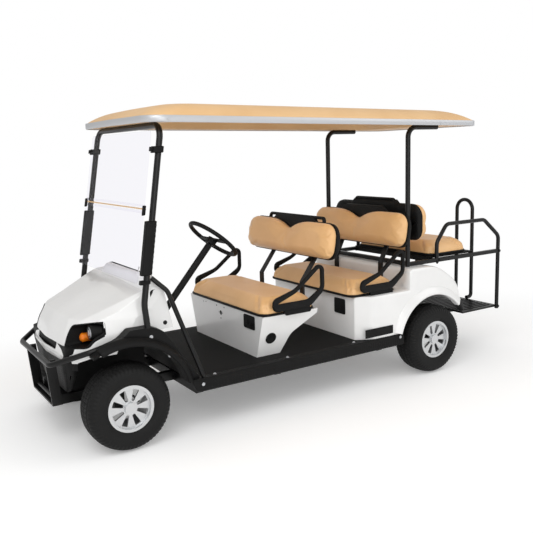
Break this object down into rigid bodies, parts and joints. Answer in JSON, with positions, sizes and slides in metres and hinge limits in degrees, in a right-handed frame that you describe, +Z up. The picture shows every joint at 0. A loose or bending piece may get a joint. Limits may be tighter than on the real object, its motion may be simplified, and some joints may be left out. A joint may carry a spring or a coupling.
{
  "type": "golf cart",
  "caption": "Stretched golf cart with two forward bench seats, a rear-facing bench, a full roof, a folding windshield, steered front wheels and lifting seats.",
  "frame": {"origin": "on the ground under the middle of the cart's whole length", "axes": "+X forward, +Y to the cart's left, +Z up"},
  "size_m": [3.875, 1.319, 2.077],
  "materials": {
    "tyre": "matt",
    "alloy": "satin",
    "bare_steel": "satin",
    "black_steel": "satin",
    "black_plastic": "matt",
    "white_panel": "gloss",
    "tan_vinyl": "satin",
    "tan_roof": "satin",
    "silver_trim": "satin",
    "clear": "clear",
    "lamp_clear": "clear",
    "lamp_amber": "gloss",
    "lamp_red": "gloss",
    "floor_mat": "matt"
  },
  "bodies": {
    "cart": {"chassis_frame": "black_steel", "cowl_braces": "black_steel", "dash_panel": "black_plastic", "floor_pan": "floor_mat", "foot_plate": "black_steel", "front_axle_beam": "black_steel", "front_back_shell": "black_plastic", "front_back_supports": "black_steel", "front_bumper": "black_steel", "front_cowl": "white_panel", "front_fenders": "black_plastic", "front_seat_back": "tan_vinyl", "front_seat_pod": "white_panel", "front_struts": "black_steel", "grab_loop": "black_steel", "grille_insert": "black_plastic", "headlamps": "lamp_clear", "hip_restraints": "black_steel", "lamp_buckets": "black_plastic", "middle_back_shell": "black_plastic", "middle_back_supports": "black_steel", "middle_seat_back": "tan_vinyl", "pedals": "black_steel", "power_unit": "bare_steel", "rear_axle": "bare_steel", "rear_back_shell": "black_plastic", "rear_body": "white_panel", "rear_seat_back": "tan_vinyl", "rear_seat_frame": "black_steel", "rear_struts": "black_steel", "rockers": "black_plastic", "roof_canopy": "tan_roof", "roof_trim": "silver_trim", "steering_column": "black_plastic", "tail_lamps": "lamp_red", "turn_lamps": "lamp_amber", "windshield_fittings": "black_plastic", "windshield_hinge": "black_plastic", "windshield_lower": "clear", "windshield_upper": "clear"},
    "knuckle_left": {"knuckle_left": "bare_steel"},
    "knuckle_right": {"knuckle_right": "bare_steel"},
    "tie_rod": {"tie_rod": "bare_steel"},
    "steering_wheel": {"steering_wheel": "black_plastic"},
    "wheel_front_left": {"tyre_front_left": "tyre", "wheel_front_left": "alloy"},
    "wheel_front_right": {"tyre_front_right": "tyre", "wheel_front_right": "alloy"},
    "wheel_rear_left": {"tyre_rear_left": "tyre", "wheel_rear_left": "alloy"},
    "wheel_rear_right": {"tyre_rear_right": "tyre", "wheel_rear_right": "alloy"},
    "front_seat_lid": {"front_seat_cushion": "tan_vinyl"},
    "middle_seat_lid": {"middle_seat_cushion": "tan_vinyl"},
    "rear_seat_lift": {"rear_seat_deck": "black_plastic", "rear_seat_cushion": "tan_vinyl"}
  },
  "joints": [
    {"name": "steer_left", "type": "hinge", "parent": "cart", "child": "knuckle_left", "pos_m": [1.5325, 0.35, 0.266], "axis": [0, 0, 1], "range_deg": [-28, 28]},
    {"name": "steer_right", "type": "hinge", "parent": "cart", "child": "knuckle_right", "pos_m": [1.5325, -0.35, 0.266], "axis": [0, 0, 1], "range_deg": [-28, 28]},
    {"name": "tie_rod_pivot", "type": "hinge", "parent": "knuckle_left", "child": "tie_rod", "pos_m": [1.4025, 0.35, 0.232], "axis": [0, 0, 1], "range_deg": [-28, 28]},
    {"name": "steering_wheel_turn", "type": "hinge", "parent": "cart", "child": "steering_wheel", "pos_m": [0.7695, 0.28, 1.184], "axis": [-0.6561, 0, 0.7547], "range_deg": [-395, 395]},
    {"name": "front_left_spin", "type": "hinge", "parent": "knuckle_left", "child": "wheel_front_left", "pos_m": [1.5325, 0.507, 0.266], "axis": [0, 1, 0], "continuous": true},
    {"name": "front_right_spin", "type": "hinge", "parent": "knuckle_right", "child": "wheel_front_right", "pos_m": [1.5325, -0.507, 0.266], "axis": [0, 1, 0], "continuous": true},
    {"name": "rear_left_spin", "type": "hinge", "parent": "cart", "child": "wheel_rear_left", "pos_m": [-0.9575, 0.552, 0.266], "axis": [0, 1, 0], "continuous": true},
    {"name": "rear_right_spin", "type": "hinge", "parent": "cart", "child": "wheel_rear_right", "pos_m": [-0.9575, -0.552, 0.266], "axis": [0, 1, 0], "continuous": true},
    {"name": "front_seat_hinge", "type": "hinge", "parent": "cart", "child": "front_seat_lid", "pos_m": [0.1125, 0, 0.6563], "axis": [0, -1, 0], "range_deg": [0, 40]},
    {"name": "middle_seat_hinge", "type": "hinge", "parent": "cart", "child": "middle_seat_lid", "pos_m": [-0.6475, 0, 0.6823], "axis": [0, -1, 0], "range_deg": [0, 40]},
    {"name": "rear_seat_hinge", "type": "hinge", "parent": "cart", "child": "rear_seat_lift", "pos_m": [-1.5575, 0, 0.855], "axis": [0, -1, 0], "range_deg": [0, 100]}
  ],
  "couplings": [
    {"joint": "steer_right", "follows": "steer_left", "ratio": 1},
    {"joint": "tie_rod_pivot", "follows": "steer_left", "ratio": -1},
    {"joint": "steering_wheel_turn", "follows": "steer_left", "ratio": 14}
  ]
}
